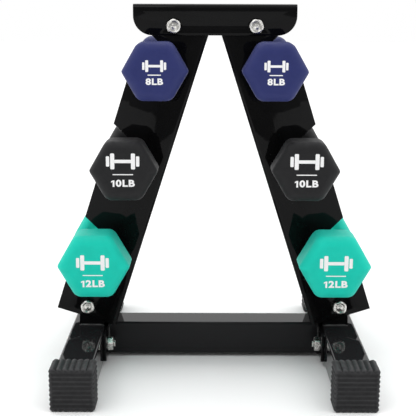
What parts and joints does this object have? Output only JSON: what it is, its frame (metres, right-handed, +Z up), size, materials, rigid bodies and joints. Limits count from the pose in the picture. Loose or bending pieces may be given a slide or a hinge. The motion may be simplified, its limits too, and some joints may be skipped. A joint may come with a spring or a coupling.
{
  "type": "dumbbell rack",
  "caption": "A-frame dumbbell stand of folded steel uprights on a square-tube base with rubber feet, loaded with pairs of hexagonal dumbbells in slanted cradle slots.",
  "frame": {"origin": "on the floor, at the middle of the footprint", "axes": "+X to the right seen from the front, +Y to the rear, +Z up; the dumbbells lie along Y"},
  "size_m": [0.4158, 0.41, 0.47],
  "materials": {
    "black_paint": "gloss black powder coat",
    "foot_rubber": "matte, ribbed",
    "zinc_steel": "bright zinc plate",
    "cast_iron": "rough cast",
    "neoprene_12lb": "matte turquoise dip",
    "neoprene_10lb": "matte charcoal dip",
    "neoprene_8lb": "matte navy dip"
  },
  "bodies": {
    "stand": {"right_rail": "black_paint", "right_flange": "black_paint", "right_bracket": "black_paint", "right_upright": "black_paint", "right_front_foot": "foot_rubber", "right_rear_foot": "foot_rubber", "left_rail": "black_paint", "left_flange": "black_paint", "left_bracket": "black_paint", "left_upright": "black_paint", "left_front_foot": "foot_rubber", "left_rear_foot": "foot_rubber", "cross_tube": "black_paint", "top_cap": "black_paint", "leg_bolts": "zinc_steel", "leg_nuts": "zinc_steel", "cap_bolts": "zinc_steel", "cap_nuts": "zinc_steel", "flange_bolts": "zinc_steel", "flange_nuts": "zinc_steel"},
    "right_12lb_dumbbell": {"right_12lb_core": "cast_iron", "right_12lb_coat": "neoprene_12lb"},
    "right_10lb_dumbbell": {"right_10lb_core": "cast_iron", "right_10lb_coat": "neoprene_10lb"},
    "right_8lb_dumbbell": {"right_8lb_core": "cast_iron", "right_8lb_coat": "neoprene_8lb"},
    "left_12lb_dumbbell": {"left_12lb_core": "cast_iron", "left_12lb_coat": "neoprene_12lb"},
    "left_10lb_dumbbell": {"left_10lb_core": "cast_iron", "left_10lb_coat": "neoprene_10lb"},
    "left_8lb_dumbbell": {"left_8lb_core": "cast_iron", "left_8lb_coat": "neoprene_8lb"}
  },
  "joints": [
    {"name": "right_12lb_lift", "type": "slide", "parent": "stand", "child": "right_12lb_dumbbell", "axis": [0.7071, 0, 0.7071], "range_m": [0, 0.15]},
    {"name": "right_10lb_lift", "type": "slide", "parent": "stand", "child": "right_10lb_dumbbell", "axis": [0.7071, 0, 0.7071], "range_m": [0, 0.15]},
    {"name": "right_8lb_lift", "type": "slide", "parent": "stand", "child": "right_8lb_dumbbell", "axis": [0.7071, 0, 0.7071], "range_m": [0, 0.15]},
    {"name": "left_12lb_lift", "type": "slide", "parent": "stand", "child": "left_12lb_dumbbell", "axis": [-0.7071, 0, 0.7071], "range_m": [0, 0.15]},
    {"name": "left_10lb_lift", "type": "slide", "parent": "stand", "child": "left_10lb_dumbbell", "axis": [-0.7071, 0, 0.7071], "range_m": [0, 0.15]},
    {"name": "left_8lb_lift", "type": "slide", "parent": "stand", "child": "left_8lb_dumbbell", "axis": [-0.7071, 0, 0.7071], "range_m": [0, 0.15]}
  ]
}
